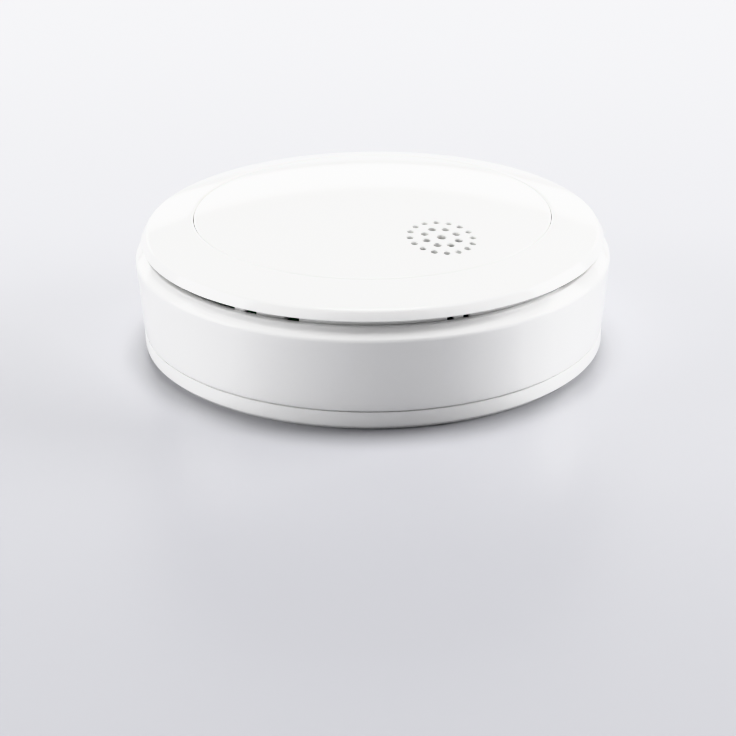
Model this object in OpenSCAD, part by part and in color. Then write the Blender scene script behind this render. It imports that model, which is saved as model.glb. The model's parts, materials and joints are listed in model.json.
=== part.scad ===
// Round battery smoke alarm on a twist-off mounting plate.
// Origin: centre of the mounting face. +Z points away from the ceiling, +X towards the sounder.

/* [Mounting plate] */
// Largest radius of the mounting plate
plate_r = 54.5; // [54.3:0.1:54.7]
// Height of the mounting plate's rim
plate_h = 4.4; // [4.2:0.1:4.4]
// Thickness of the mounting plate's floor
plate_floor = 1.6; // [1.2:0.1:1.6]
// Distance between the two wall screws
screw_spacing = 60; // [50:1:64]
// Width of each screw slot
slot_w = 4.4; // [4:0.1:5]
// Length of each screw slot, end to end
slot_len = 9; // [7:0.5:10]

/* [Housing] */
// Height of the parting line above the mounting face
wall_z = 4.7; // [4.7:0.1:4.9]
// Outward lean of the side wall, in degrees
wall_lean = 5; // [4:0.5:5]
// Thickness of the moulded walls
wall_t = 1.8; // [1.6:0.1:1.9]
// Height of the top of the shoulder
shoulder_z = 24.3; // [24.2:0.1:24.5]

/* [Front cover] */
// Radius of the domed front cover
cap_r = 54.5; // [54:0.1:55]
// Height of the cover's lower edge
cap_z = 25.9; // [25.8:0.1:26.1]
// Rise of the dome from its edge to its centre
crown = 8.3; // [7.5:0.1:9]
// Thickness of the dome
cap_t = 1.8; // [1.6:0.1:2]

/* [Test button] */
// Radius of the test button
button_r = 42; // [41.5:0.1:42.2]
// Gap between the button and the cover
button_gap = 0.15; // [0.12:0.01:0.3]
// How far the button's face lies below the cover's
button_recess = 0.15; // [0.1:0.05:0.3]
// Distance of the sounder from the alarm's axis
sounder_x = 28; // [27:0.5:28]

/* [Hidden] */

$fn = 96;
eps = 0.01;

// How far one shape of a moulding runs into the next
join = 0.5;

// Mounting plate
plate_bevel = 1;
rim_lean = 0.1;
rim_round = 0.4;
stiffener_in = 20;
stiffener_out = 21.2;
stiffener_h = 0.8;

// Bayonet between the plate and the rear housing
lugs = 4;
lug_angle = 14;
lug_first = 20;
tongue_in = 48.4;
rim_in = 51.5;
tongue_z = 3.2;
lug_z = 1.9;
lug_h = 1;
lug_out = 50.9;
skirt_out = 47.4;
skirt_in = 45.2;
tool_gap = 0.6;
stop_gap = 0.6;
stop_angle = 1.8;

// Housing floor, board and screws
floor_z = 4.8;
floor_t = 1.5;
floor_top = floor_z + floor_t;
floor_r = 52.4;
floor_rim_t = 1.4;
floor_rim_h = 2.4;
board_z = 9;
board_t = 1.6;
board_top = board_z + board_t;
board_r = 44.5;
board_cut_y = 24.5;
boss_r = 2.6;
boss_at = 48;
boss_angles = [30, 150, 270];
boss_top = 20;
boss_hole_h = 10;
boss_rib_t = 1.6;
boss_rib_h = 12;
case_screw_r = 1.1;
case_screw_head = 2.2;
case_screw_len = 9;
case_sink_r = 3.6;
case_sink_h = 2.4;
board_posts = [[41, 9], [-40, 8], [-26, -33], [26, -33]];
board_post_r = 2.6;
board_screw_r = 1;
board_screw_len = 5;
board_head_r = 1.9;
board_head_h = 1.2;
drive_w = 0.45;
drive_depth = 0.65;

// Shoulder of the side housing: a 45 degree band, where radius and height always add up to band_sum,
// between two rounded edges
band_sum = 78;
shoulder_fillet = 1.4;
lip_fillet = 0.6;
lip_in = 52.2;
lip_h = 1.6;
lip_w = 0.9;

// Dome of the cover. Its edge leans in from a narrow rim and is rounded into the dome.
edge_r = 1.2;
edge_at = 52.44;
edge_lean = 30;
rim_h = 0.15;
dome_base = cap_z + 1.95;
neck_in = 50.8;
neck_out = 51.85;
neck_z = 23.2;
neck_top = 27.65;
window_z = 23.8;
window_h = 2.6;
// Start and end angle of every smoke window round the neck
windows = [
    [-166, -142], [-138, -114], [-110, -70], [-67, -52], [-15.6, -13.8], [-11.4, -9.6],
    [20, 44], [48, 72], [76, 100], [104, 128], [132, 156], [160, 190]
];
arm_angles = [60, 180, 300];
arm_at = 36;
arm_t = 2;
arm_w = 7;
guide_r = 1.5;
guide_bore_r = 1.58;
leg_angles = [15, 105, 195, 285];
leg_angle = 8;
leg_h = 2.4;
hook_h = 1.4;
hook_out = 52.8;

// Button
button_t = 1.6;
flange_r = 43.8;
flange_z = 27.7;
flange_t = 1;
skirt_t = 1.6;
guide_end = 21.8;
// Every ring of sound holes: how many, the ring's radius and the holes' radius
hole_rings = [[1, 0, 1.25], [8, 3.95, 1.02], [16, 7.2, 0.88]];
hole_turn = -3;

// Test switch under the button
switch_xy = [20, -22];
switch_w = 6;
switch_h = 3.4;
plunger_r = 1.7;
plunger_top = 15.1;
pusher_r = 1.6;
pusher_gap = 0.05;

// Return springs
spring_r = 2.7;
spring_wire = 0.22;
spring_turns = 4;
spring_sides = 6;
spring_steps = 16;

// Optical chamber
chamber_xy = [-13, -8];
chamber_r = 20.8;
chamber_z = board_top + 0.05;
chamber_floor = 1.6;
chamber_top = 22.6;
lid_t = 1.4;
optic_z = 16.2;
led_at = 205;
diode_at = 335;
optic_r = 1.5;
optic_at = 13.6;
holder_at = 11.4;
holder_len = 7.4;
holder_w = 6.8;
holder_h = 2.8;
shield_t = 0.35;
vanes = 18;
vane_gap = 26;
vane_at = 16.2;
vane_t = 0.9;
screen_in = 20.2;
screen_t = 0.3;
screen_bars = 48;

// Indicator lamp and the clear rod over it
guide_xy = [8, 20];
guide_rod_r = 1.5;
guide_foot_r = 3;

// Sounder
horn_r = 12.6;
horn_top = 29.6;
throat_r = 8.6;
horn_t = 1.4;
piezo_r = 10;
piezo_z = 15;

// Battery
cell_r = 7.25;
cell_len = 50;
cell_y = 34.6;
cell_z = floor_top + 0.3 + cell_r;
cradle_x = 17;
cradle_t = 2;
cradle_w = 17.2;
cradle_h = 6;
strap_w = 7;
strap_t = 0.8;
strap_y = cell_r + 0.55;
lead_r = 0.6;

// The dome is part of a ball that passes through its edge and its top
dome_ball_r = (pow(cap_r, 2) + pow(crown, 2)) / (2 * crown);
function dome_z(r) = dome_base + crown - dome_ball_r + sqrt(pow(dome_ball_r, 2) - pow(r, 2));
function arc(c, r, a, b, steps) =
    [for (i = [0:steps]) let (t = a + (b - a) * i / steps) [c[0] + r * cos(t), c[1] + r * sin(t)]];
function apart(a, b) = abs((a - b + 540) % 360 - 180);

module at(angles) {
    for (a = angles) rotate(a) children();
}

// A slice of a ring between two angles
module sector(r_in, r_out, z, h, a, b) {
    translate([0, 0, z]) rotate(a) rotate_extrude(angle = b - a)
        translate([r_in, 0]) square([r_out - r_in, h]);
}

// Everything inside the dome's ball, with its skin moved inwards, above a height and within a radius
module under_dome(drop, r, z) {
    intersection() {
        translate([0, 0, dome_base + crown - dome_ball_r]) sphere(r = dome_ball_r - drop, $fn = 360);
        disc(r, z, 30);
    }
}

module tube(r_in, r_out, z, h) {
    translate([0, 0, z]) difference() {
        cylinder(r = r_out, h = h);
        translate([0, 0, -eps]) cylinder(r = r_in, h = h + 2 * eps);
    }
}

module disc(r, z, h) {
    translate([0, 0, z]) cylinder(r = r, h = h);
}

// Cross-shaped recess of a screw head, on its lower face
module cross_drive(across) {
    for (a = [0, 90]) rotate(a) translate([-across / 2, -drive_w / 2, -eps])
        cube([across, drive_w, drive_depth]);
}

module countersunk_screw(r, head_r, length) {
    head_h = head_r - r;
    difference() {
        union() {
            cylinder(r1 = head_r, r2 = r, h = head_h);
            translate([0, 0, head_h - eps]) cylinder(r = r, h = length - head_h);
        }
        cross_drive(head_r * 1.2);
    }
}

// Round rod swept along a route. Each ring of the rod is square to the route there.
function along(p, i) = p[min(i + 1, len(p) - 1)] - p[max(i - 1, 0)];
function unit(v) = v / norm(v);
function ring_at(p, i, r, sides) =
    let (n = unit(along(p, i)), u = unit(cross(n, abs(n[2]) < 0.8 ? [0, 0, 1] : [1, 0, 0])), v = cross(n, u))
    [for (s = [0:sides - 1]) p[i] + r * (u * cos(360 * s / sides) + v * sin(360 * s / sides))];

module rod(route, r, sides) {
    last = len(route) - 1;
    points = [for (i = [0:last]) each ring_at(route, i, r, sides)];
    skin = [for (i = [0:last - 1], s = [0:sides - 1]) let (n = (s + 1) % sides)
        [i * sides + s, i * sides + n, (i + 1) * sides + n, (i + 1) * sides + s]];
    head = [for (s = [0:sides - 1]) sides - 1 - s];
    tail = [for (s = [0:sides - 1]) last * sides + s];
    polyhedron(points = points, faces = concat([head], skin, [tail]), convexity = 8);
}

// Smooth route through a few points
function between(a, b, c, d, t) =
    0.5 * (2 * b + (c - a) * t + (2 * a - 5 * b + 4 * c - d) * t * t + (3 * b - a - 3 * c + d) * t * t * t);
function smooth(p, steps) = [
    for (i = [0:len(p) - 2], k = [0:steps - (i < len(p) - 2 ? 1 : 0)])
        between(p[max(i - 1, 0)], p[i], p[i + 1], p[min(i + 2, len(p) - 1)], k / steps)
];

module mounting_plate() {
    color("white") difference() {
        union() {
            rotate_extrude() polygon([
                [0, 0], [plate_r - rim_lean - plate_bevel, 0], [plate_r - rim_lean, plate_bevel],
                [plate_r, plate_h - rim_round], [plate_r - rim_round, plate_h], [rim_in, plate_h],
                [rim_in, plate_floor], [0, plate_floor]
            ]);
            for (i = [0:lugs - 1]) rotate(lug_first + i * 360 / lugs) {
                sector(tongue_in, rim_in + join, tongue_z, plate_h - tongue_z,
                    -lug_angle / 2, lug_angle / 2);
                sector(tongue_in, rim_in + join, plate_floor - join, plate_h - plate_floor + join,
                    -lug_angle / 2 - stop_gap - stop_angle, -lug_angle / 2 - stop_gap);
            }
            tube(stiffener_in, stiffener_out, plate_floor - join, stiffener_h + join);
        }
        for (side = [-1, 1]) translate([0, side * screw_spacing / 2, -1]) screw_slot(plate_floor + 2);
        for (i = [0:lugs - 1]) rotate(lug_first + i * 360 / lugs)
            sector(tongue_in - tool_gap, rim_in - tool_gap / 2, -1, plate_floor + 2,
                -lug_angle / 2, lug_angle / 2);
    }
}

module screw_slot(h) {
    reach = (slot_len - slot_w) / 2;
    for (side = [-1, 1]) translate([0, side * reach, 0]) cylinder(r = slot_w / 2, h = h);
    translate([-slot_w / 2, -reach, 0]) cube([slot_w, 2 * reach, h]);
}

module rear_housing() {
    color("white") difference() {
        union() {
            disc(floor_r, floor_z, floor_t);
            tube(floor_r - floor_rim_t, floor_r, floor_top - eps, floor_rim_h);
            tube(skirt_in, skirt_out, lug_z, floor_z - lug_z + join);
            for (i = [0:lugs - 1])
                sector(skirt_out - join, lug_out, lug_z, lug_h,
                    lug_first + i * 360 / lugs - lug_angle / 2,
                    lug_first + i * 360 / lugs + lug_angle / 2);
            for (p = board_posts) translate([p[0], p[1], floor_top - eps])
                cylinder(r = board_post_r, h = board_z - floor_top);
            for (side = [-1, 1]) translate([side * cradle_x, cell_y, floor_top - eps])
                translate([-cradle_t / 2, -cradle_w / 2, 0]) cube([cradle_t, cradle_w, cradle_h]);
        }
        at(boss_angles) translate([boss_at, 0, floor_z - 1]) {
            cylinder(r = case_screw_r + 0.2, h = floor_t + 2);
            cylinder(r1 = case_sink_r, r2 = case_screw_r + 0.1, h = case_sink_h);
        }
        for (p = board_posts) translate([p[0], p[1], floor_z + 0.6]) cylinder(r = board_screw_r, h = 8);
        translate([-cell_len / 2 - 2, cell_y, cell_z]) rotate([0, 90, 0])
            cylinder(r = cell_r + 0.1, h = cell_len + 4);
        for (side = [-1, 1]) translate([0, cell_y + side * strap_y, floor_z - 1])
            translate([-strap_w / 2 - 0.3, -strap_t / 2 - 0.3, 0]) cube([strap_w + 0.6, strap_t + 0.6, 4]);
    }
}

// Outline of the side wall and shoulder, from the parting line up
function wall_r(z) = plate_r + (z - wall_z) * tan(wall_lean);
function corner_r() = (plate_r + (band_sum - wall_z) * tan(wall_lean)) / (1 + tan(wall_lean));

module side_housing() {
    corner = [corner_r(), band_sum - corner_r()];
    turn = 45 - wall_lean;
    tangent = shoulder_fillet * tan((45 + wall_lean) / 2);
    start = [corner[0] - tangent * sin(wall_lean), corner[1] - tangent * cos(wall_lean)];
    centre = [start[0] - shoulder_fillet * cos(wall_lean), start[1] + shoulder_fillet * sin(wall_lean)];
    lip_centre = [band_sum - shoulder_z - lip_fillet * tan(22.5), shoulder_z - lip_fillet];
    color("white") {
        rotate_extrude() polygon(concat(
            [[wall_r(wall_z) - 0.3, wall_z], [wall_r(wall_z) + 0.02, wall_z + 0.35]],
            arc(centre, shoulder_fillet, -wall_lean, 45, 8),
            arc(lip_centre, lip_fillet, 45, 90, 4),
            [
                [lip_in, shoulder_z], [lip_in, shoulder_z - lip_h], [lip_in + lip_w, shoulder_z - lip_h],
                [corner[0] - wall_t - 0.6, corner[1] - 1.2], [corner[0] - wall_t - 0.2, corner[1] - 2.2],
                [wall_r(wall_z) - wall_t, wall_z]
            ]
        ));
        at(boss_angles) difference() {
            union() {
                translate([boss_at, 0, floor_top + 0.1]) cylinder(r = boss_r, h = boss_top - floor_top);
                translate([boss_at, -boss_rib_t / 2, floor_top + 3])
                    cube([wall_r(floor_top) - boss_at - 1, boss_rib_t, boss_rib_h]);
            }
            translate([boss_at, 0, floor_top]) cylinder(r = case_screw_r, h = boss_hole_h);
        }
    }
}

module front_cover() {
    slope = asin(edge_at / (dome_ball_r - edge_r));
    edge_z = dome_base + crown - dome_ball_r + (dome_ball_r - edge_r) * cos(slope);
    color("white") difference() {
        union() {
            difference() {
                union() {
                    under_dome(0, dome_ball_r * sin(slope), cap_z);
                    rotate_extrude() polygon(concat(
                        [[edge_at - 2, cap_z], [cap_r - rim_h, cap_z], [cap_r, cap_z + rim_h]],
                        arc([edge_at, edge_z], edge_r, edge_lean, 90 - slope, 6),
                        [[edge_at - 2, cap_z + 1]]
                    ));
                }
                under_dome(cap_t, cap_r - cap_t, cap_z - 1);
                disc(button_r + button_gap, cap_z - 2, 20);
            }
            difference() {
                tube(neck_in, neck_out, neck_z, neck_top - neck_z);
                for (w = windows) sector(neck_in - 1, neck_out + 1, window_z, window_h, w[0], w[1]);
            }
            at(leg_angles) {
                sector(neck_in + 0.2, neck_out - 0.2, neck_z - leg_h, leg_h + join,
                    -leg_angle / 2, leg_angle / 2);
                rotate(-leg_angle / 2) rotate_extrude(angle = leg_angle) polygon([
                    [neck_out - join, neck_z - leg_h], [neck_out, neck_z - leg_h],
                    [hook_out, neck_z - leg_h + hook_h], [neck_out - join, neck_z - leg_h + hook_h]
                ]);
            }
            at(arm_angles) {
                translate([arm_at, -arm_w / 2, neck_z]) cube([neck_in - arm_at + join, arm_w, arm_t]);
                translate([arm_at, 0, neck_z]) cylinder(r = arm_w / 2, h = arm_t);
            }
        }
        at(arm_angles) translate([arm_at, 0, neck_z - 1]) cylinder(r = guide_bore_r, h = arm_t + 2);
    }
}

module test_button() {
    pusher_top = dome_z(norm(switch_xy)) - button_recess - 0.5;
    color("white") difference() {
        union() {
            difference() {
                under_dome(button_recess, button_r, flange_z);
                under_dome(button_recess + button_t, button_r - skirt_t, flange_z - 1);
            }
            tube(button_r - skirt_t, flange_r, flange_z, flange_t);
            at(arm_angles) translate([arm_at, 0, guide_end])
                cylinder(r = guide_r, h = dome_z(arm_at) - 0.6 - guide_end);
            translate([switch_xy[0], switch_xy[1], plunger_top + pusher_gap])
                cylinder(r = pusher_r, h = pusher_top - plunger_top);
        }
        translate([sounder_x, 0, 0]) for (ring = hole_rings, i = [0:ring[0] - 1])
            rotate(hole_turn + i * 360 / ring[0]) translate([ring[1], 0, flange_z])
                cylinder(r = ring[2], h = 12);
    }
}

module housing_screws() {
    color("silver") at(boss_angles) translate([boss_at, 0, floor_z - 0.1])
        countersunk_screw(case_screw_r - 0.02, case_screw_head, case_screw_len);
}

module board_screws() {
    color("silver") for (p = board_posts) translate([p[0], p[1], board_top + board_head_h + 0.05])
        rotate([180, 0, 0])
        difference() {
            union() {
                cylinder(r = board_head_r, h = board_head_h);
                cylinder(r = board_screw_r - 0.02, h = board_screw_len);
            }
            cross_drive(board_head_r * 1.2);
        }
}

module circuit_board() {
    color("darkgreen") difference() {
        disc(board_r, board_z, board_t);
        translate([-board_r, board_cut_y, board_z - 1]) cube([2 * board_r, board_r, board_t + 2]);
        for (p = board_posts) translate([p[0], p[1], board_z - 1]) cylinder(r = board_screw_r + 0.15, h = 4);
    }
}

module at_chamber() {
    translate([chamber_xy[0], chamber_xy[1], 0]) children();
}

module chamber_base() {
    color("dimgray") at_chamber() difference() {
        union() {
            disc(chamber_r, chamber_z, chamber_floor);
            tube(6, 6.8, chamber_z + 0.5, chamber_floor + 0.3);
            for (a = [led_at, diode_at]) rotate(a)
                translate([holder_at, -holder_w / 2, chamber_z + 0.2])
                    cube([holder_len, holder_w, optic_z + holder_h - chamber_z]);
        }
        for (a = [led_at, diode_at]) rotate(a) {
            translate([12, 0, optic_z]) rotate([0, 90, 0]) cylinder(r = optic_r + 0.06, h = 10);
            translate([10, 0, optic_z]) rotate([0, 90, 0]) cylinder(r = 0.9, h = 4);
            translate([15.2, -1.7, chamber_z - 1]) cube([1.2, 3.4, optic_z - chamber_z + 1]);
        }
    }
}

module labyrinth_lid() {
    vane_z = chamber_z + chamber_floor + 0.2;
    vane_h = chamber_top - lid_t - vane_z + eps;
    color("dimgray") at_chamber() {
        disc(chamber_r, chamber_top - lid_t, lid_t);
        for (i = [0:vanes - 1]) {
            a = i * 360 / vanes;
            clear = min(apart(a, led_at), apart(a, diode_at)) > vane_gap;
            if (clear) rotate(a) translate([vane_at, 0, vane_z]) {
                rotate(52) translate([-4.2, -vane_t / 2, 0]) cube([4.4, vane_t, vane_h]);
                rotate(-28) translate([-0.3, -vane_t / 2, 0]) cube([3.6, vane_t, vane_h]);
            }
        }
    }
}

module insect_screen() {
    screen_z = chamber_z + chamber_floor + 0.1;
    screen_h = chamber_top - lid_t - screen_z - 0.1;
    color("silver") at_chamber() difference() {
        tube(screen_in, screen_in + screen_t, screen_z, screen_h);
        for (i = [0:screen_bars - 1]) rotate(i * 360 / screen_bars)
            translate([screen_in - 1, -0.85, screen_z + 0.8]) cube([3, 1.7, screen_h - 1.6]);
    }
}

// Lamp or sensor with two legs that go down to the board
module optic(body_r) {
    translate([optic_at, 0, optic_z]) rotate([0, 90, 0]) {
        cylinder(r = body_r, h = 3.8);
        sphere(r = body_r);
        translate([0, 0, 3.7]) cylinder(r = body_r, h = 0.9);
    }
    for (side = [-1, 1]) translate([optic_at + 2, side * 0.8 - 0.2, board_top + 0.05])
        cube([0.4, 0.4, optic_z - board_top - 1]);
}

module infrared_led() {
    color("midnightblue") at_chamber() rotate(led_at) optic(optic_r);
}

module photodiode() {
    color("black") at_chamber() rotate(diode_at) optic(optic_r);
}

module photodiode_shield() {
    inner_w = holder_w + 0.1;
    outer_w = inner_w + 2 * shield_t;
    shield_z = chamber_z + chamber_floor + 0.1;
    color("silver") at_chamber() rotate(diode_at) difference() {
        translate([holder_at - 0.3, -outer_w / 2, shield_z]) cube([7.9, outer_w, 7.35]);
        translate([holder_at - 1.4, -inner_w / 2, shield_z - 0.1]) cube([8.8, inner_w, 7.05]);
        translate([12, 0, optic_z]) rotate([0, 90, 0]) cylinder(r = optic_r + 0.4, h = 10);
    }
}

module at_sounder() {
    translate([sounder_x, 0, 0]) children();
}

module sounder_horn() {
    foot = board_top + 0.05;
    color("dimgray") at_sounder() difference() {
        rotate_extrude() polygon([
            [horn_r - horn_t, foot], [horn_r, foot], [horn_r, piezo_z + 5],
            [throat_r + 0.2, horn_top - 5], [throat_r + 0.2, horn_top], [throat_r - horn_t, horn_top],
            [throat_r - horn_t, horn_top - 5.4], [horn_r - horn_t - 0.6, piezo_z + 4.4],
            [horn_r - horn_t - 0.6, piezo_z + 0.6], [piezo_r - 1.2, piezo_z + 0.6],
            [piezo_r - 1.2, piezo_z - 0.4], [horn_r - horn_t, piezo_z - 0.4]
        ]);
        for (i = [0:2]) rotate(60 + i * 120) translate([horn_r - 3, -1.5, foot - 1]) cube([4, 3, 3]);
    }
}

module piezo_disc() {
    color("gold") at_sounder() {
        disc(piezo_r, piezo_z - 0.75, 0.3);
        disc(piezo_r - 3, piezo_z - 1, 0.26);
    }
}

module sounder_contacts() {
    color("silver") at_sounder() for (side = [-1, 1]) {
        reach = side < 0 ? 3 : 8.4;
        contact_top = side < 0 ? piezo_z - 1.05 : piezo_z - 0.8;
        translate([side * reach - 0.6, -1, board_top + 0.05]) cube([1.2, 2, 0.3]);
        translate([side * reach - 0.15, -0.6, board_top + 0.05])
            cube([0.3, 1.2, contact_top - board_top - 0.1]);
    }
}

module indicator_led() {
    color("red") translate([guide_xy[0], guide_xy[1], board_top + 0.05]) {
        translate([-1.6, -1.4, 0]) cube([3.2, 2.8, 1]);
        translate([0, 0, 1 - eps]) cylinder(r = 1.1, h = 0.9);
    }
}

module light_guide() {
    top = dome_z(norm(guide_xy)) - button_recess - button_t - 1.2;
    color("lightblue") translate([guide_xy[0], guide_xy[1], 0]) difference() {
        union() {
            disc(guide_rod_r, board_top + 2.4, top - board_top - 2.4);
            disc(guide_foot_r, board_top + 0.05, 3);
        }
        translate([-2, -1.8, board_top - 1]) cube([4, 3.6, 3.2]);
    }
}

module switch_body() {
    color("black") translate([switch_xy[0], switch_xy[1], board_top + 0.05]) difference() {
        union() {
            translate([-switch_w / 2, -switch_w / 2, 0]) cube([switch_w, switch_w, switch_h]);
            for (x = [-1, 1], y = [-1, 1]) translate([x * 3.6 - 0.8, y * 2.2 - 0.3, 0]) cube([1.6, 0.6, 0.3]);
        }
        translate([0, 0, switch_h - 2]) cylinder(r = plunger_r + 0.05, h = 4);
    }
}

module switch_plunger() {
    color("ivory") translate([switch_xy[0], switch_xy[1], board_top + switch_h - 1])
        cylinder(r = plunger_r, h = plunger_top - board_top - switch_h + 1);
}

function helix(h) = [for (i = [0:spring_turns * spring_steps])
    let (t = i / spring_steps) [spring_r * cos(360 * t), spring_r * sin(360 * t), h * t / spring_turns]];

module return_springs() {
    seat = neck_z + arm_t + spring_wire + 0.05;
    top = dome_z(arm_at + 3) - button_recess - button_t - spring_wire - 0.35;
    color("silver") at(arm_angles) translate([arm_at, 0, seat])
        rod(helix(top - seat), spring_wire, spring_sides);
}

module spring_retainers() {
    color("silver") at(arm_angles) translate([arm_at, 0, neck_z - 0.75]) difference() {
        cylinder(r = 2.8, h = 0.5);
        translate([0, 0, -1]) cylinder(r = guide_r, h = 3);
    }
}

module microcontroller() {
    color("black") translate([9, -36, board_top]) {
        translate([-3.5, -3.5, 0.15]) cube([7, 7, 1.1]);
        for (a = [0:90:270], i = [-3:3]) rotate(a) translate([3.4, i - 0.15, 0.05]) cube([1, 0.3, 0.3]);
    }
}

module capacitors() {
    color("navy") for (p = [[-30, 18, 4, 9], [-19, 18.4, 3.2, 8], [34, -16, 2.6, 6]])
        translate([p[0], p[1], board_top + 0.05]) {
            cylinder(r = p[2], h = p[3]);
            cylinder(r = p[2] + 0.25, h = 1.2);
        }
}

module resistors() {
    color("dimgray") {
        for (i = [0:5]) translate([2 + i * 2.4, 8, board_top + 0.05]) cube([1.2, 2.2, 0.6]);
        for (i = [0:4]) translate([-18 + i * 2.4, -38, board_top + 0.05]) cube([1.2, 2.2, 0.6]);
    }
}

module boost_coil() {
    color("black") translate([-4, 18.5, board_top + 0.05]) {
        cylinder(r = 4.2, h = 1.2);
        cylinder(r = 2.4, h = 7);
        translate([0, 0, 1.1]) cylinder(r = 3.5, h = 4.8);
        translate([0, 0, 5.8]) cylinder(r = 4.2, h = 1.2);
    }
}

module battery() {
    color("steelblue") translate([-cell_len / 2, cell_y, cell_z]) rotate([0, 90, 0]) {
        cylinder(r = cell_r, h = cell_len - 1.5);
        translate([0, 0, cell_len - 1.6]) cylinder(r = 2.8, h = 1.6);
    }
}

module battery_strap() {
    color("black") {
        translate([-strap_w / 2, cell_y, cell_z]) rotate([0, 90, 0]) difference() {
            cylinder(r = strap_y + strap_t / 2, h = strap_w);
            translate([0, 0, -1]) cylinder(r = strap_y - strap_t / 2, h = strap_w + 2);
            translate([0, -2 * cell_r, -1]) cube([2 * cell_r, 4 * cell_r, strap_w + 2]);
        }
        for (side = [-1, 1]) translate([-strap_w / 2, cell_y + side * strap_y - strap_t / 2, floor_z + 0.3])
            cube([strap_w, strap_t, cell_z - floor_z - 0.3 + eps]);
    }
}

module positive_lead() {
    color("red") rod(smooth([
        [cell_len / 2 + 0.65, cell_y, cell_z], [cell_len / 2 + 3, cell_y - 1, cell_z],
        [cell_len / 2 + 2, cell_y - 7, cell_z], [25, 24, board_top + 4], [20, 20, board_top + 0.75]
    ], 6), lead_r, 8);
}

module negative_lead() {
    color("black") rod(smooth([
        [-cell_len / 2 - 0.65, cell_y, cell_z], [-cell_len / 2 - 3, cell_y - 1, cell_z],
        [-cell_len / 2 - 3, cell_y - 7, cell_z], [-24, 26, board_top + 4], [-12.5, 22.8, board_top + 0.75]
    ], 6), lead_r, 8);
}

mounting_plate();
rear_housing();
side_housing();
front_cover();
test_button();
housing_screws();
board_screws();
circuit_board();
chamber_base();
labyrinth_lid();
insect_screen();
infrared_led();
photodiode();
photodiode_shield();
sounder_horn();
piezo_disc();
sounder_contacts();
indicator_led();
light_guide();
switch_body();
switch_plunger();
return_springs();
spring_retainers();
microcontroller();
capacitors();
resistors();
boost_coil();
battery();
battery_strap();
positive_lead();
negative_lead();
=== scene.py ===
"""Looks of a round white battery smoke alarm, built round its CAD frame. Lengths are in metres."""
import json
import math

import bmesh
import bpy
from mathutils import Matrix, Vector
from mathutils.geometry import delaunay_2d_cdt


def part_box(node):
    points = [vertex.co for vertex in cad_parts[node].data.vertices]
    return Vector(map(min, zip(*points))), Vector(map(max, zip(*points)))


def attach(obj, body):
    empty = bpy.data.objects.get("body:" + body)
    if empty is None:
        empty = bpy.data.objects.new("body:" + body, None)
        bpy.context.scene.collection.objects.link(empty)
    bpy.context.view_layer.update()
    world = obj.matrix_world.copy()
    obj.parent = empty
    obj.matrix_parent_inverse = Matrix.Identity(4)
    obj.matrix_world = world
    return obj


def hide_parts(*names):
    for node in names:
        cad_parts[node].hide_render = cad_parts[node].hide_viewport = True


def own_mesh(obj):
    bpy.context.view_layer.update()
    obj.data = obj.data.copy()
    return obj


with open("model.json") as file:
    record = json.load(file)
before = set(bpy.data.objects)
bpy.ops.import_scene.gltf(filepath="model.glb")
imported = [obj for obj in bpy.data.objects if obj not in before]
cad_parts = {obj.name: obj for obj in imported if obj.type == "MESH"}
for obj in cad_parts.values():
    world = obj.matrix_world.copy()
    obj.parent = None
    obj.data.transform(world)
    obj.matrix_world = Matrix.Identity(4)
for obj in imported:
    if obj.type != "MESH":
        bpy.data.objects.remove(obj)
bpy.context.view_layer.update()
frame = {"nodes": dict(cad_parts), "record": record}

MM = 0.001
TURN = 2 * math.pi

# ---------------------------------------------------------------- driving sizes
# The round mouldings are centred on the frame's Z axis, so a node's box gives its radius.
SEGMENTS = 288                      # steps round every large moulding
FILLET_STEPS = 6
SOFT = 0.15 * MM                    # rounding of a moulding's hidden edges

CAP_R = 54.5 * MM
CAP_Z = 25.9 * MM
CAP_T = 1.8 * MM
EDGE_R = 1.2 * MM
EDGE_AT = 52.44 * MM                # radius at which the rounding of the cover's edge is centred
EDGE_LEAN = math.radians(30)
RIM_H = 0.15 * MM
CROWN = 8.3 * MM
DOME_BASE = CAP_Z + 1.95 * MM
BALL_R = (CAP_R ** 2 + CROWN ** 2) / (2 * CROWN)
BALL_Z = DOME_BASE + CROWN - BALL_R

BUTTON_R = 42 * MM
BUTTON_GAP = 0.15 * MM
BUTTON_RECESS = 0.15 * MM
BUTTON_T = 1.6 * MM
FLANGE_Z = 27.7 * MM
FLANGE_R = 43.8 * MM
FLANGE_T = 1 * MM

PLATE_R = 54.5 * MM
PLATE_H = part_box("mounting_plate")[1][2]
PLATE_FLOOR = 1.6 * MM
SCREW_SPACING = 60 * MM
SLOT_W, SLOT_LEN = 4.4 * MM, 9 * MM
LUGS = 4
LUG_FIRST, LUG_ANGLE = math.radians(20), math.radians(14)
TONGUE_IN, TONGUE_Z = 48.4 * MM, 3.2 * MM
RIM_IN = 51.5 * MM
TOOL_GAP = 0.6 * MM
WALL_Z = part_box("side_housing")[0][2]
WALL_LEAN = math.radians(5)
WALL_T = 1.8 * MM
SHOULDER_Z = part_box("side_housing")[1][2]
BAND_SUM = 78 * MM                  # radius plus height along the shoulder's 45 degree band
SHOULDER_FILLET = 1.4 * MM
LIP_FILLET = 0.6 * MM
LIP_IN = 52.2 * MM
LIP_H = 1.6 * MM
LIP_W = 0.9 * MM

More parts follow.
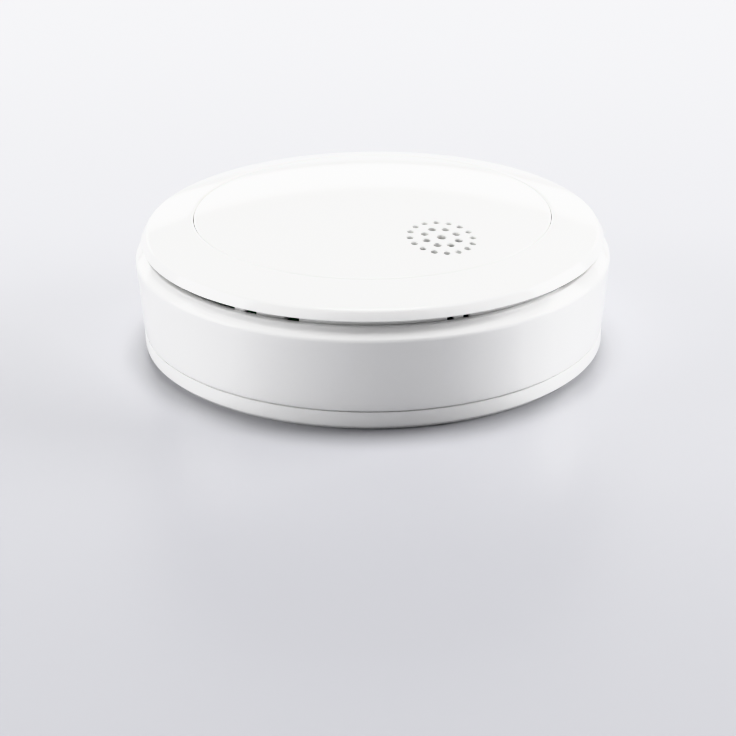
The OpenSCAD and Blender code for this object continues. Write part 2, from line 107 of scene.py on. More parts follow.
NECK_IN = 50.8 * MM
NECK_OUT = 51.85 * MM
NECK_Z = 23.2 * MM
NECK_TOP = 27.65 * MM
WINDOW_Z = 23.8 * MM
WINDOW_H = 2.6 * MM
WINDOWS = [
    (-166, -142), (-138, -114), (-110, -70), (-67, -52), (-15.6, -13.8), (-11.4, -9.6),
    (20, 44), (48, 72), (76, 100), (104, 128), (132, 156), (160, 190),
]
ARM_ANGLES = (60, 180, 300)
ARM_AT = 36 * MM                    # the three guides of the test key
ARM_R, ARM_T, ARM_START = 3.5 * MM, 2 * MM, 1.8 * MM
GUIDE_BORE, POST_R = 1.58 * MM, 1.5 * MM
POST_FOOT = 21.8 * MM
PUSHER_R = 1.6 * MM
LEG_ANGLES = (15, 105, 195, 285)
LEG_HALF = 4                        # degrees
LEG_FOOT, HOOK_Z, LEG_TOP = 20.8 * MM, 22.2 * MM, 23.7 * MM
HOOK_OUT = 52.8 * MM
BOSS_ANGLES = (30, 150, 270)
BOSS_AT, BOSS_R, BOSS_BORE = 48 * MM, 2.6 * MM, 1.1 * MM
BOSS_FOOT, BORE_END, BOSS_TOP = 6.4 * MM, 16.3 * MM, 20 * MM
RIB_HALF = 0.8 * MM
STOP_ANGLE, STOP_LEAD = math.radians(1.8), math.radians(2.4)
RING_R, RING_T, RING_H = 20 * MM, 1.2 * MM, 0.8 * MM
SPRING_WIRE, SPRING_COIL, SPRING_TURNS = 0.22 * MM, 2.7 * MM, 4
SOUNDER_X = 28 * MM
HOLE_RINGS = ((1, 0, 1.25 * MM), (8, 3.95 * MM, 1.02 * MM), (16, 7.2 * MM, 0.88 * MM))
HOLE_TURN = math.radians(-3)
HOLE_EDGE = 0.28 * MM


def ball_z(r, drop=0.0):
    """Height of the dome's ball, with its skin moved inwards, at a radius."""
    return BALL_Z + math.sqrt((BALL_R - drop) ** 2 - r ** 2)


def polar(r, angle):
    """Place (x, y) at a radius and an angle in degrees."""
    return (r * math.cos(math.radians(angle)), r * math.sin(math.radians(angle)))


# ---------------------------------------------------------------- mesh helpers
def rounded(corners, closed=True):
    """Outline with each corner (r, z, fillet radius) rounded."""
    out = []
    count = len(corners)
    for i, (x, z, fillet) in enumerate(corners):
        here = Vector((x, z))
        if fillet <= 0 or (not closed and i in (0, count - 1)):
            out.append(here)
            continue
        before = Vector(corners[i - 1][:2]) - here
        after = Vector(corners[(i + 1) % count][:2]) - here
        half = before.angle(after) / 2
        if half > math.radians(89):
            out.append(here)
            continue
        back = min(fillet / math.tan(half), 0.49 * before.length, 0.49 * after.length)
        radius = back * math.tan(half)
        centre = here + (before.normalized() + after.normalized()).normalized() * radius / math.sin(half)
        first, last = here + before.normalized() * back, here + after.normalized() * back
        a = first - centre
        sweep = math.pi - 2 * half
        sign = 1 if a.x * (last - centre).y - a.y * (last - centre).x > 0 else -1
        for k in range(FILLET_STEPS + 1):
            t = sign * sweep * k / FILLET_STEPS
            out.append(centre + Vector((a.x * math.cos(t) - a.y * math.sin(t),
                                        a.x * math.sin(t) + a.y * math.cos(t))))
    return out


def dense(points, longest, closed=True):
    """The same outline with long straight runs cut into shorter ones."""
    out = []
    ends = len(points) if closed else len(points) - 1
    for i in range(ends):
        a, b = Vector(points[i]), Vector(points[(i + 1) % len(points)])
        steps = max(1, math.ceil((b - a).length / longest))
        out += [a.lerp(b, k / steps) for k in range(steps)]
    if not closed:
        out.append(Vector(points[-1]))
    return out


def lathe(bm, outline, closed=True, segments=SEGMENTS, start=0.0, sweep=TURN, centre=(0, 0)):
    """Turns an outline of (r, z) round a vertical axis. A part turn gets its two end caps."""
    whole = abs(sweep - TURN) < 1e-6
    columns = segments if whole else segments + 1
    rings = []
    for r, z in outline:
        if r < 1e-7:
            rings.append([bm.verts.new((centre[0], centre[1], z))])
            continue
        ring = []
        for i in range(columns):
            a = start + sweep * i / segments
            ring.append(bm.verts.new((centre[0] + r * math.cos(a), centre[1] + r * math.sin(a), z)))
        rings.append(ring)
    for k in range(len(rings) if closed else len(rings) - 1):
        low, high = rings[k], rings[(k + 1) % len(rings)]
        for i in range(segments):
            j = (i + 1) % columns
            corners = [low[i % len(low)], low[j % len(low)], high[j % len(high)], high[i % len(high)]]
            corners = list(dict.fromkeys(corners))
            if len(corners) > 2:
                bm.faces.new(corners)
    if closed and not whole:
        bm.faces.new([ring[0] for ring in rings])
        bm.faces.new([ring[-1] for ring in reversed(rings)])
    return rings


def rod(bm, radius, low, high, centre, segments=40, tip=0.3 * MM):
    """Round post with chamfered ends."""
    outline = [(0, low, 0), (radius, low, tip), (radius, high, tip), (0, high, 0)]
    lathe(bm, rounded(outline, closed=False), closed=False, segments=segments, centre=centre)


def block(bm, low, high, turn=0.0):
    """Box with slightly rounded edges, turned about the frame's Z axis."""
    made = bmesh.ops.create_cube(bm, size=1)["verts"]
    size = Vector(high) - Vector(low)
    middle = (Vector(high) + Vector(low)) / 2
    place = Matrix.Rotation(turn, 4, "Z") @ Matrix.Translation(middle) @ Matrix.Diagonal((*size, 1))
    bmesh.ops.transform(bm, matrix=place, verts=made)
    edges = list({e for v in made for e in v.link_edges})
    bmesh.ops.bevel(bm, geom=edges, offset=min(size) * 0.12, segments=2, affect="EDGES", profile=0.5)


def piece(name, bm, body, nodes, material, sharp=40):
    """Finishes a mesh as a piece of the object: shading, finish, body and the CAD nodes it stands for."""
    bmesh.ops.remove_doubles(bm, verts=bm.verts, dist=1e-7)
    bmesh.ops.recalc_face_normals(bm, faces=bm.faces)
    for face in bm.faces:
        face.smooth = True
    for edge in bm.edges:
        if len(edge.link_faces) == 2 and edge.calc_face_angle(0) > math.radians(sharp):
            edge.smooth = False
    mesh = bpy.data.meshes.new(name)
    bm.to_mesh(mesh)
    bm.free()
    made = bpy.data.objects.new(name, mesh)
    bpy.context.scene.collection.objects.link(made)
    mesh.materials.append(material)
    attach(made, body)
    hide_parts(*nodes)
    return made


# ---------------------------------------------------------------- materials
def shader(name, colour, roughness, metallic=0.0):
    """New node material with its Principled shader, ready for texture nodes."""
    made = bpy.data.materials.new(name)
    made.use_nodes = True
    nodes = made.node_tree.nodes
    nodes.clear()
    out = nodes.new("ShaderNodeOutputMaterial")
    surface = nodes.new("ShaderNodeBsdfPrincipled")
    surface.inputs["Base Color"].default_value = (*colour, 1)
    surface.inputs["Roughness"].default_value = roughness
    surface.inputs["Metallic"].default_value = metallic
    made.node_tree.links.new(surface.outputs["BSDF"], out.inputs["Surface"])
    return made, surface


def noise(tree, size, detail=3.0, place=None):
    """Noise whose features are about size metres across, in the object's own space."""
    where = place or tree.nodes.new("ShaderNodeTexCoord").outputs["Object"]
    made = tree.nodes.new("ShaderNodeTexNoise")
    made.inputs["Scale"].default_value = 1 / size
    made.inputs["Detail"].default_value = detail
    tree.links.new(where, made.inputs["Vector"])
    return made.outputs["Fac"]


def spread(tree, source, low, high):
    """Maps a 0 to 1 value on to a range."""
    made = tree.nodes.new("ShaderNodeMapRange")
    made.inputs["From Min"].default_value = 0.3
    made.inputs["From Max"].default_value = 0.7
    made.inputs["To Min"].default_value = low
    made.inputs["To Max"].default_value = high
    tree.links.new(source, made.inputs["Value"])
    return made.outputs["Result"]


def ramp(tree, source, colours, ends=(0.3, 0.7)):
    """Colour between two, by a 0 to 1 value."""
    made = tree.nodes.new("ShaderNodeValToRGB")
    for stop, place, colour in zip(made.color_ramp.elements, ends, colours):
        stop.position = place
        stop.color = (*colour, 1)
    tree.links.new(source, made.inputs["Fac"])
    return made.outputs["Color"]


def bump(tree, surface, source, height, strength=1.0):
    """Raises the surface by up to height metres where the source is 1."""
    made = tree.nodes.new("ShaderNodeBump")
    made.inputs["Strength"].default_value = strength
    made.inputs["Distance"].default_value = height
    tree.links.new(source, made.inputs["Height"])
    before = surface.inputs["Normal"].links
    if before:
        tree.links.new(before[0].from_socket, made.inputs["Normal"])
    tree.links.new(made.outputs["Normal"], surface.inputs["Normal"])


def moulded(name, colour, roughness, shade=0.02, grain=0.4 * MM, relief=0.002 * MM, uneven=0.15,
            milky=0.0):
    """Moulded plastic: slow colour drift, uneven gloss, a faint orange peel, fine grain, milky depth."""
    made, surface = shader(name, colour, roughness)
    surface.inputs["Subsurface Weight"].default_value = milky
    surface.inputs["Subsurface Radius"].default_value = (1, 1, 1)
    surface.inputs["Subsurface Scale"].default_value = 1 * MM
    tree = made.node_tree
    darker = tuple(c * (1 - shade) for c in colour)
    tree.links.new(ramp(tree, noise(tree, 22 * MM), (darker, colour)), surface.inputs["Base Color"])
    tree.links.new(spread(tree, noise(tree, 6 * MM, 5), roughness * (1 - uneven), roughness * (1 + uneven)),
                   surface.inputs["Roughness"])
    bump(tree, surface, noise(tree, 3 * MM, 2), relief * 2)
    bump(tree, surface, noise(tree, grain, 2), relief)
    return made


def metal(name, colour, roughness, grain=0.15 * MM):
    """Plated metal with fine scratches along one way and dull patches."""
    made, surface = shader(name, colour, roughness, 1.0)
    tree = made.node_tree
    stretch = tree.nodes.new("ShaderNodeMapping")
    stretch.inputs["Scale"].default_value = (1, 1, 12)
    tree.links.new(tree.nodes.new("ShaderNodeTexCoord").outputs["Object"], stretch.inputs["Vector"])
    scratches = noise(tree, grain * 4, 4, stretch.outputs["Vector"])
    darker = tuple(c * 0.8 for c in colour)
    tree.links.new(ramp(tree, noise(tree, 2 * MM, 4), (darker, colour)), surface.inputs["Base Color"])
    tree.links.new(spread(tree, scratches, roughness * 0.7, roughness * 1.5), surface.inputs["Roughness"])
    bump(tree, surface, scratches, 0.004 * MM)
    return made


def circuit(name):
    """Green solder mask over copper tracks."""
    made, surface = shader(name, (0.015, 0.12, 0.05), 0.35)
    tree = made.node_tree
    tracks = tree.nodes.new("ShaderNodeTexBrick")
    tracks.inputs["Scale"].default_value = 1 / (6 * MM)
    tracks.inputs["Mortar Size"].default_value = 0.06
    tracks.inputs["Color1"].default_value = (0.012, 0.1, 0.04, 1)
    tracks.inputs["Color2"].default_value = (0.02, 0.14, 0.06, 1)
    tracks.inputs["Mortar"].default_value = (0.05, 0.26, 0.1, 1)
    tree.links.new(tree.nodes.new("ShaderNodeTexCoord").outputs["Object"], tracks.inputs["Vector"])
    tree.links.new(tracks.outputs["Color"], surface.inputs["Base Color"])
    tree.links.new(spread(tree, noise(tree, 3 * MM, 4), 0.25, 0.45), surface.inputs["Roughness"])
    bump(tree, surface, tracks.outputs["Fac"], 0.03 * MM)
    return made


FINISHES = {
    "housing": moulded("white_gloss", (0.885, 0.883, 0.877), 0.11, shade=0.004, relief=0.0008 * MM,
                       milky=0.9),
    # The plate's white is set lighter than the housing's white. This is painted light, standing in for the
    # light the floor throws up on its low band.
    "plate": moulded("white_satin_painted_light", (0.92, 0.918, 0.91), 0.16, shade=0.005, relief=0.001 * MM, milky=0.9),
    "inner_white": moulded("white_matt", (0.78, 0.78, 0.77), 0.5, shade=0.04, relief=0.006 * MM),
    "black_plastic": moulded("black_matt", (0.018, 0.018, 0.02), 0.48, shade=0.3, relief=0.006 * MM),
    "circuit_board": circuit("solder_mask"),
    "steel": metal("plated_steel", (0.62, 0.62, 0.6), 0.28),
    "brass": metal("brass", (0.78, 0.58, 0.25), 0.3),
    "clear_plastic": moulded("clear_rod", (0.72, 0.8, 0.84), 0.12, shade=0.03),
    "lamp": moulded("lamp_resin", (0.5, 0.03, 0.02), 0.15, shade=0.1),
    "infrared_resin": moulded("infrared_resin", (0.03, 0.035, 0.09), 0.12, shade=0.2),
    "cell_wrap": moulded("cell_wrap", (0.06, 0.2, 0.42), 0.25, shade=0.12),
    "red_wire": moulded("red_insulation", (0.55, 0.02, 0.02), 0.4, shade=0.1),
    "black_wire": moulded("black_insulation", (0.02, 0.02, 0.02), 0.4, shade=0.3),
}


def dress_cad_nodes():
    """Gives every CAD node the finish of its material slot."""
    for part in frame["record"]["subparts"]:
        node = frame["nodes"][part["node"]]
        if not node.material_slots:
            node.data.materials.append(None)
        for place in node.material_slots:
            place.link = "OBJECT"
            place.material = FINISHES[part["material_slot"]]


# ---------------------------------------------------------------- mouldings
def dome_run(r_from, r_to, drop, longest=1.5 * MM):
    """Points of the dome between two radii."""
    steps = max(2, math.ceil(abs(r_to - r_from) / longest))
    radii = [r_from + (r_to - r_from) * k / steps for k in range(steps + 1)]
    return [Vector((r, ball_z(r, drop))) for r in radii]


def front_cover():
    bm = bmesh.new()
    slope = math.asin(EDGE_AT / (BALL_R - EDGE_R))
    edge = Vector((EDGE_AT, BALL_Z + (BALL_R - EDGE_R) * math.cos(slope)))
    tangent_r = BALL_R * math.sin(slope)
    inner_r = BUTTON_R + BUTTON_GAP
    lip = 0.6 * MM
    outline = rounded([(inner_r, ball_z(inner_r, CAP_T), 0), (inner_r, ball_z(inner_r), lip),
                       (inner_r + 2 * lip, ball_z(inner_r + 2 * lip), 0)], closed=False)
    outline += dome_run(inner_r + 2.4 * lip, tangent_r, 0)
    steps = 12
    for k in range(1, steps + 1):
        a = math.pi / 2 - slope - (math.pi / 2 - slope - EDGE_LEAN) * k / steps
        outline.append(edge + EDGE_R * Vector((math.cos(a), math.sin(a))))
    outline += rounded([(*outline[-1], 0), (CAP_R, CAP_Z + RIM_H, RIM_H), (CAP_R - RIM_H, CAP_Z, RIM_H),
                        (CAP_R - CAP_T, CAP_Z, 0.2 * MM),
                        (CAP_R - CAP_T, ball_z(CAP_R - CAP_T, CAP_T), 0)], closed=False)[1:]
    outline += dome_run(CAP_R - CAP_T - 0.3 * MM, inner_r, CAP_T)[:-1]
    lathe(bm, outline)
    for low, high in ((NECK_Z, WINDOW_Z), (WINDOW_Z + WINDOW_H, NECK_TOP)):
        lathe(bm, rounded([(NECK_IN, low, SOFT), (NECK_OUT, low, SOFT),
                           (NECK_OUT, high, SOFT), (NECK_IN, high, SOFT)]))
    strut_low, strut_high = WINDOW_Z - SOFT, WINDOW_Z + WINDOW_H + SOFT
    for (_, a1), (b0, _) in zip(WINDOWS, WINDOWS[1:] + [(WINDOWS[0][0] + 360, 0)]):
        width = b0 - a1
        if width <= 0:
            continue
        outline = [Vector(p) for p in ((NECK_IN, strut_low), (NECK_OUT, strut_low),
                                       (NECK_OUT, strut_high), (NECK_IN, strut_high))]
        lathe(bm, outline, segments=max(2, round(width)), start=math.radians(a1),
              sweep=math.radians(width))
    arm_top = NECK_Z + ARM_T
    for angle in ARM_ANGLES:
        block(bm, (ARM_AT + ARM_START, -ARM_R, NECK_Z), (NECK_IN + 0.5 * MM, ARM_R, arm_top),
              math.radians(angle))
        lathe(bm, rounded([(GUIDE_BORE, NECK_Z, SOFT), (ARM_R, NECK_Z, SOFT),
                           (ARM_R, arm_top, SOFT), (GUIDE_BORE, arm_top, SOFT)]),
              segments=48, centre=polar(ARM_AT, angle))
    for angle in LEG_ANGLES:
        outline = [Vector(p) for p in ((NECK_IN, LEG_FOOT), (NECK_OUT, LEG_FOOT), (HOOK_OUT, HOOK_Z),
                                       (NECK_OUT, HOOK_Z), (NECK_OUT, LEG_TOP), (NECK_IN, LEG_TOP))]
        lathe(bm, outline, segments=8, start=math.radians(angle - LEG_HALF),
              sweep=math.radians(2 * LEG_HALF))
    return piece("front_cover_shell", bm, "alarm", ["front_cover"], FINISHES["housing"])


def hole_places():
    """(x, y, radius) of every sound hole."""
    places = []
    for count, ring_r, hole_r in HOLE_RINGS:
        for i in range(count):
            t = HOLE_TURN + TURN * i / count
            places.append((SOUNDER_X + ring_r * math.cos(t), ring_r * math.sin(t), hole_r))
    return places


def perforated(bm, drop, outer_r, margin, segments=40):
    """Dome skin with a hole left open round each sound hole."""
    holes = hole_places()
    points, edges, rims = [], [], []

    def loop(cx, cy, r, count):
        first = len(points)
        points.extend(Vector((cx + r * math.cos(TURN * i / count), cy + r * math.sin(TURN * i / count)))
                      for i in range(count))
        edges.extend((first + i, first + (i + 1) % count) for i in range(count))
        return range(first, first + count)

    for cx, cy, r in holes:
        rims.append(loop(cx, cy, r + margin, segments))
    loop(0, 0, outer_r, SEGMENTS)
    spacing = 1.1 * MM
    rings = int((outer_r - 0.4 * MM) / spacing)
    for k in range(rings + 1):
        r = k * (outer_r - 0.5 * MM) / rings
        count = max(1, round(TURN * r / spacing))
        for i in range(count):
            a = TURN * (i + 0.5 * (k % 2)) / count
            p = Vector((r * math.cos(a), r * math.sin(a)))
            if all((p.x - cx) ** 2 + (p.y - cy) ** 2 > (hr + margin + 0.3 * MM) ** 2
                   for cx, cy, hr in holes):
                points.append(p)
    coords, _, faces, _, _, _ = delaunay_2d_cdt(points, edges, [], 0, 1e-9)
    verts = [bm.verts.new((p.x, p.y, ball_z(p.length, drop))) for p in coords]
    for face in faces:
        middle = sum((coords[i] for i in face), Vector((0, 0))) / len(face)
        if all((middle.x - cx) ** 2 + (middle.y - cy) ** 2 > (hr + margin * 0.98) ** 2 * 0.99
               for cx, cy, hr in holes):
            bm.faces.new([verts[i] for i in face])


def sound_hole(bm, cx, cy, r, segments=40):
    """Wall of one hole: a rounded upper edge and a straight run down to the underside."""
    rings = []
    levels = [(r + HOLE_EDGE * (1 - math.sin(t)), HOLE_EDGE * (1 - math.cos(t)))
              for t in [math.pi / 2 * k / 5 for k in range(6)]]
    for ring_r, sink in levels:
        ring = []
        for i in range(segments):
            a = TURN * i / segments
            x, y = cx + ring_r * math.cos(a), cy + ring_r * math.sin(a)
            ring.append(bm.verts.new((x, y, ball_z(math.hypot(x, y), BUTTON_RECESS) - sink)))
        rings.append(ring)
    ring = []
    for i in range(segments):
        a = TURN * i / segments
        x, y = cx + r * math.cos(a), cy + r * math.sin(a)
        ring.append(bm.verts.new((x, y, ball_z(math.hypot(x, y), BUTTON_RECESS + BUTTON_T))))
    rings.append(ring)
    for low, high in zip(rings, rings[1:]):
        for i in range(segments):
            j = (i + 1) % segments
            bm.faces.new((low[i], low[j], high[j], high[i]))


def test_button():
    bm = bmesh.new()
    edge = 0.6 * MM
    skirt_in = BUTTON_R - 1.6 * MM
    perforated(bm, BUTTON_RECESS, BUTTON_R - 2 * edge, HOLE_EDGE)
    perforated(bm, BUTTON_RECESS + BUTTON_T, skirt_in, 0)
    for cx, cy, r in hole_places():
        sound_hole(bm, cx, cy, r)
    top = [(BUTTON_R - 2 * edge, ball_z(BUTTON_R - 2 * edge, BUTTON_RECESS), 0),
           (BUTTON_R, ball_z(BUTTON_R, BUTTON_RECESS), edge),
           (BUTTON_R, FLANGE_Z + FLANGE_T, 0.1 * MM),
           (FLANGE_R, FLANGE_Z + FLANGE_T, 0.15 * MM), (FLANGE_R, FLANGE_Z, 0.15 * MM),
           (skirt_in, FLANGE_Z, 0.15 * MM), (skirt_in, ball_z(skirt_in, BUTTON_RECESS + BUTTON_T), 0)]
    lathe(bm, rounded(top, closed=False), closed=False)
    sunk = 1 * MM
    for angle in ARM_ANGLES:
        rod(bm, POST_R, POST_FOOT, ball_z(ARM_AT) - sunk, polar(ARM_AT, angle))
    low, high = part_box("switch_plunger")
    switch = (low + high) / 2
    rod(bm, PUSHER_R, high[2] + 0.05 * MM, ball_z(switch.xy.length) - sunk, (switch.x, switch.y))
    return piece("test_button_shell", bm, "test_key", ["test_button"], FINISHES["housing"])


def side_housing():
    bm = bmesh.new()
    lean = math.tan(WALL_LEAN)
    corner_r = (PLATE_R + (BAND_SUM - WALL_Z) * lean) / (1 + lean)
    corner_z = BAND_SUM - corner_r

    def wall_r(z):
        return PLATE_R + (z - WALL_Z) * lean

    outline = dense(rounded([
        (wall_r(WALL_Z), WALL_Z, 0.1 * MM),
        (corner_r, corner_z, SHOULDER_FILLET),
        (BAND_SUM - SHOULDER_Z, SHOULDER_Z, LIP_FILLET),
        (LIP_IN, SHOULDER_Z, 0.2 * MM),
        (LIP_IN, SHOULDER_Z - LIP_H, 0.2 * MM),
        (LIP_IN + LIP_W, SHOULDER_Z - LIP_H, 0),
        (corner_r - WALL_T - 0.2 * MM, corner_z - 2.2 * MM, 1 * MM),
        (wall_r(WALL_Z) - WALL_T, WALL_Z, 0.15 * MM),
    ]), 1.5 * MM)
    lathe(bm, outline)
    soft = 0.2 * MM
    for angle in BOSS_ANGLES:
        lathe(bm, rounded([(0, BORE_END, 0), (BOSS_BORE, BORE_END, 0), (BOSS_BORE, BOSS_FOOT, soft),
                           (BOSS_R, BOSS_FOOT, soft), (BOSS_R, BOSS_TOP, soft), (0, BOSS_TOP, 0)],
                          closed=False),
              closed=False, segments=40, centre=polar(BOSS_AT, angle))
        block(bm, (50 * MM, -RIB_HALF, 9.3 * MM), (wall_r(10 * MM) - 1 * MM, RIB_HALF, 20.3 * MM),
              math.radians(angle))
    return piece("side_housing_shell", bm, "alarm", ["side_housing"], FINISHES["housing"])


def slot_loop(centre_y, grow):
    """Outline of one screw slot, seen from above, made wider all round by grow."""
    r, half = SLOT_W / 2 + grow, (SLOT_LEN - SLOT_W) / 2
    steps = 24
    loop = []
    for side, start in ((1, 0.0), (-1, math.pi)):
        for k in range(steps + 1):
            t = start + math.pi * k / steps
            loop.append(Vector((r * math.cos(t), centre_y + side * half + r * math.sin(t))))
    return loop


def window_loop(middle, grow):
    """Outline of the moulding window under one bayonet tongue."""
    inner, outer = TONGUE_IN - TOOL_GAP - grow, RIM_IN - TOOL_GAP / 2 + grow
    half = LUG_ANGLE / 2 + grow / RIM_IN
    steps = 10
    turns = [middle - half + 2 * half * k / steps for k in range(steps + 1)]
    arc = [Vector((outer * math.cos(t), outer * math.sin(t))) for t in turns]
    return arc + [Vector((inner * math.cos(t), inner * math.sin(t))) for t in reversed(turns)]


def inside(p, loop):
    """Whether a point lies within a closed outline."""
    hit = False
    for a, b in zip(loop, loop[1:] + loop[:1]):
        if (a.y > p.y) != (b.y > p.y) and p.x < (b.x - a.x) * (p.y - a.y) / (b.y - a.y) + a.x:
            hit = not hit
    return hit


def pierced_face(bm, z, outer_r, loops):
    """Flat round face at a height, with each loop left open."""
    rim = [Vector((outer_r * math.cos(TURN * i / SEGMENTS), outer_r * math.sin(TURN * i / SEGMENTS)))
           for i in range(SEGMENTS)]
    points, edges = [], []
    for loop in [rim] + loops:
        first, count = len(points), len(loop)
        points += loop
        edges += [(first + i, first + (i + 1) % count) for i in range(count)]
    coords, _, faces, _, _, _ = delaunay_2d_cdt(points, edges, [], 0, 1e-9)
    verts = [bm.verts.new((p.x, p.y, z)) for p in coords]
    for face in faces:
        middle = sum((coords[i] for i in face), Vector((0, 0))) / len(face)
        if not any(inside(middle, loop) for loop in loops):
            bm.faces.new([verts[i] for i in face])


def wall_round(bm, levels):
    """Wall through several outlines, each with its height."""
    rings = [[bm.verts.new((p.x, p.y, z)) for p in loop] for loop, z in levels]
    for low, high in zip(rings, rings[1:]):
        for i in range(len(low)):
            j = (i + 1) % len(low)
            bm.faces.new((low[i], low[j], high[j], high[i]))


def mounting_plate():
    bm = bmesh.new()
    flat_out = RIM_IN - SOFT
    outline = rounded([
        (PLATE_R - 1.6 * MM, 0, 0), (PLATE_R - 1.1 * MM, 0, 0.3 * MM), (PLATE_R - 0.1 * MM, 1 * MM, 0.5 * MM),
        (PLATE_R, PLATE_H, 0.13 * MM), (RIM_IN, PLATE_H, SOFT), (RIM_IN, PLATE_FLOOR, 0.1 * MM),
        (flat_out, PLATE_FLOOR, 0)], closed=False)
    lathe(bm, outline, closed=False)

    middles = [LUG_FIRST + TURN * i / LUGS for i in range(LUGS)]
    makers = [lambda grow, y=side * SCREW_SPACING / 2: slot_loop(y, grow) for side in (-1, 1)]
    makers += [lambda grow, t=t: window_loop(t, grow) for t in middles]
    wide = [make(SOFT * 0.8) for make in makers]
    pierced_face(bm, 0, PLATE_R - 1.6 * MM, wide)
    pierced_face(bm, PLATE_FLOOR, flat_out, wide)
    for make, opening in zip(makers, wide):
        wall = make(0)
        wall_round(bm, [(opening, 0), (wall, SOFT), (wall, PLATE_FLOOR - SOFT), (opening, PLATE_FLOOR)])

    sunk = 0.5 * MM
    foot, rim, top = PLATE_FLOOR - sunk, RIM_IN + sunk, PLATE_H - 0.05 * MM
    for t in middles:
        start = t - LUG_ANGLE / 2
        for low, fillet, steps, first, sweep in ((TONGUE_Z, SOFT, 12, start, LUG_ANGLE),
                                                 (foot, 0, 3, start - STOP_LEAD, STOP_ANGLE)):
            outline = rounded([(TONGUE_IN, low, fillet), (rim, low, 0), (rim, top, 0), (TONGUE_IN, top, SOFT)])
            lathe(bm, outline, segments=steps, start=first, sweep=sweep)
    ring_out, ring_top = RING_R + RING_T, PLATE_FLOOR + RING_H
    lathe(bm, rounded([(RING_R, foot, 0), (ring_out, foot, 0), (ring_out, ring_top, SOFT),
                       (RING_R, ring_top, SOFT)]))
    return piece("mounting_plate_shell", bm, "plate", ["mounting_plate"], FINISHES["plate"])


def return_springs():
    bm = bmesh.new()
    low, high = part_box("return_springs")
    wire, sides = SPRING_WIRE, 12
    steps = SPRING_TURNS * 32
    for angle in ARM_ANGLES:
        centre = Vector((*polar(ARM_AT, angle), 0))
        rings = []
        for k in range(steps + 1):
            a = TURN * SPRING_TURNS * k / steps
            out = Vector((math.cos(a), math.sin(a), 0))
            z = low[2] + wire + (high[2] - low[2] - 2 * wire) * k / steps
            rings.append([bm.verts.new(centre + out * (SPRING_COIL + wire * math.cos(TURN * s / sides))
                                       + Vector((0, 0, z + wire * math.sin(TURN * s / sides))))
                          for s in range(sides)])
        for a, b in zip(rings, rings[1:]):
            for s in range(sides):
                bm.faces.new((a[s], a[(s + 1) % sides], b[(s + 1) % sides], b[s]))
        bm.faces.new(list(reversed(rings[0])))
        bm.faces.new(rings[-1])
    coils = piece("return_spring_coils", bm, "alarm", ["return_springs"], FINISHES["steel"])
    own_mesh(coils)
    return coils


# ---------------------------------------------------------------- stage
def floor():
    bm = bmesh.new()
    bmesh.ops.create_grid(bm, x_segments=1, y_segments=1, size=6)
    mesh = bpy.data.meshes.new("floor")
    bm.to_mesh(mesh)
    bm.free()
    made = bpy.data.objects.new("floor", mesh)
    bpy.context.scene.collection.objects.link(made)
    mesh.materials.append(moulded("pale_floor", (0.4, 0.401, 0.424), 0.32, shade=0.002,
                                  relief=0.0001 * MM, uneven=0.01))


def area_light(name, place, target, size, power):
    data = bpy.data.lights.new(name, "AREA")
    data.shape = "RECTANGLE"
    data.size, data.size_y = size
    data.energy = power
    made = bpy.data.objects.new(name, data)
    bpy.context.scene.collection.objects.link(made)
    made.location = place
    made.rotation_mode = "QUATERNION"
    made.rotation_quaternion = (Vector(target) - Vector(place)).to_track_quat("-Z", "Y")


# The photograph's view, with lengths across the picture in pixels and the sounder along +X.
PHOTO_AZIMUTH = math.radians(56.2)
PHOTO_ELEVATION = math.radians(20.6)
PHOTO_ROLL = math.radians(-0.46)
PHOTO_SIDE = 736
PHOTO_FOCAL = 2500
PHOTO_AIM = (372.47, 233.31)            # where the point aimed at falls in the picture
AIM_Z = 26 * MM
DISTANCE = 10.8565 * CAP_R
SENSOR = 36                             # millimetres


def around(x, y, z):
    """A place given as the photograph sees it, right, away and up, in the frame's axes."""
    c, s = math.cos(PHOTO_AZIMUTH), math.sin(PHOTO_AZIMUTH)
    return (x * c - y * s, x * s + y * c, z)


def beside(azimuth, distance, height):
    """A place seen from above the object: azimuth 0 is at the camera and 90 to the picture's right."""
    t = math.radians(azimuth)
    return around(distance * math.sin(t), -distance * math.cos(t), height)


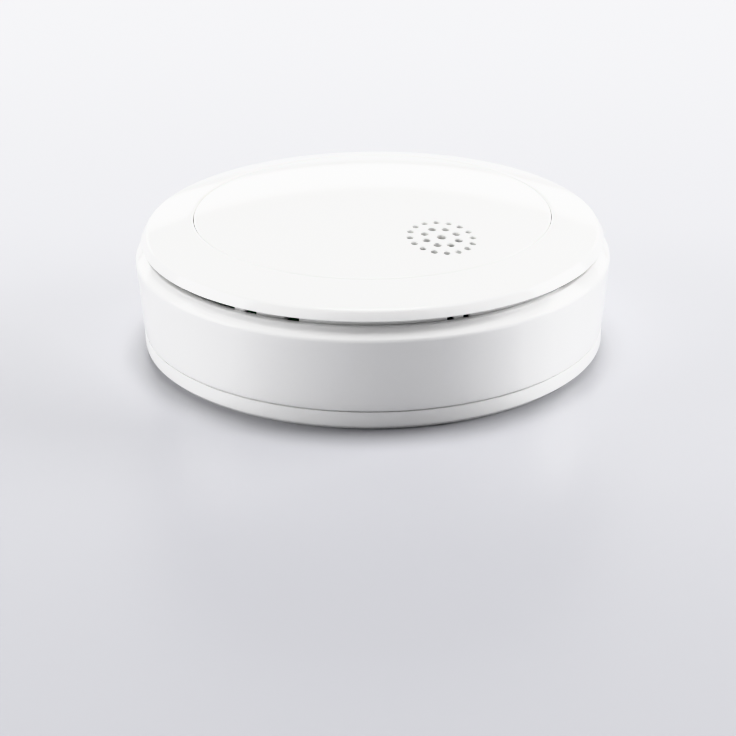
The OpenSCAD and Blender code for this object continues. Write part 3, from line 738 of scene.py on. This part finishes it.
def lights():
    world = bpy.data.worlds.new("studio")
    bpy.context.scene.world = world
    world.use_nodes = True
    ambient = world.node_tree.nodes["Background"]
    ambient.inputs["Color"].default_value = (1, 1, 1, 1)
    ambient.inputs["Strength"].default_value = 0.05
    area_light("top_softbox", around(0, 0.24, 1.5), (0, 0, 0), (0.6, 0.6), 27)
    area_light("back_softbox", around(0, 1.6, 0.3), (0, 0, 0.05), (3.2, 0.4), 25)
    area_light("front_fill", beside(0, 1, 0.08), (0, 0, 0.02), (1.3, 0.14), 1.5)
    area_light("left_softbox", beside(-86, 0.9, 0.3), (0, 0, 0.02), (0.7, 0.6), 9)
    area_light("right_softbox", beside(102, 0.9, 0.3), (0, 0, 0.02), (0.6, 0.6), 14)


def camera():
    """The photograph's viewpoint: elevation, distance, roll, and the picture's offset as pan and tilt."""
    pan, tilt = (math.atan((aim - PHOTO_SIDE / 2) / PHOTO_FOCAL) for aim in PHOTO_AIM)
    data = bpy.data.cameras.new("photo_camera")
    data.sensor_width = SENSOR
    data.lens = PHOTO_FOCAL / PHOTO_SIDE * SENSOR
    data.clip_start, data.clip_end = 0.01, 20
    made = bpy.data.objects.new("photo_camera", data)
    bpy.context.scene.collection.objects.link(made)
    back = Vector((0, -math.cos(PHOTO_ELEVATION), math.sin(PHOTO_ELEVATION)))
    right = Vector((1, 0, 0))
    forward = -back
    up = right.cross(forward)
    base = Matrix((right, -up, forward))
    turned = (Matrix(((1, 0, 0), (0, math.cos(tilt), math.sin(tilt)), (0, -math.sin(tilt), math.cos(tilt))))
              @ Matrix(((math.cos(pan), 0, math.sin(pan)), (0, 1, 0), (-math.sin(pan), 0, math.cos(pan))))
              @ Matrix(((math.cos(PHOTO_ROLL), -math.sin(PHOTO_ROLL), 0),
                        (math.sin(PHOTO_ROLL), math.cos(PHOTO_ROLL), 0), (0, 0, 1)))
              @ base)
    aside = Matrix.Rotation(PHOTO_AZIMUTH, 3, "Z")
    axes = aside @ turned.transposed()
    pose = Matrix((axes.col[0], -axes.col[1], -axes.col[2])).transposed().to_4x4()
    pose.translation = aside @ (back * DISTANCE) + Vector((0, 0, AIM_Z))
    made.matrix_world = pose
    bpy.context.scene.camera = made


dress_cad_nodes()
front_cover()
test_button()
side_housing()
mounting_plate()
return_springs()
floor()
lights()
camera()
bpy.context.scene.view_settings.view_transform = "Khronos PBR Neutral"
bpy.context.scene.cycles.use_denoising = True
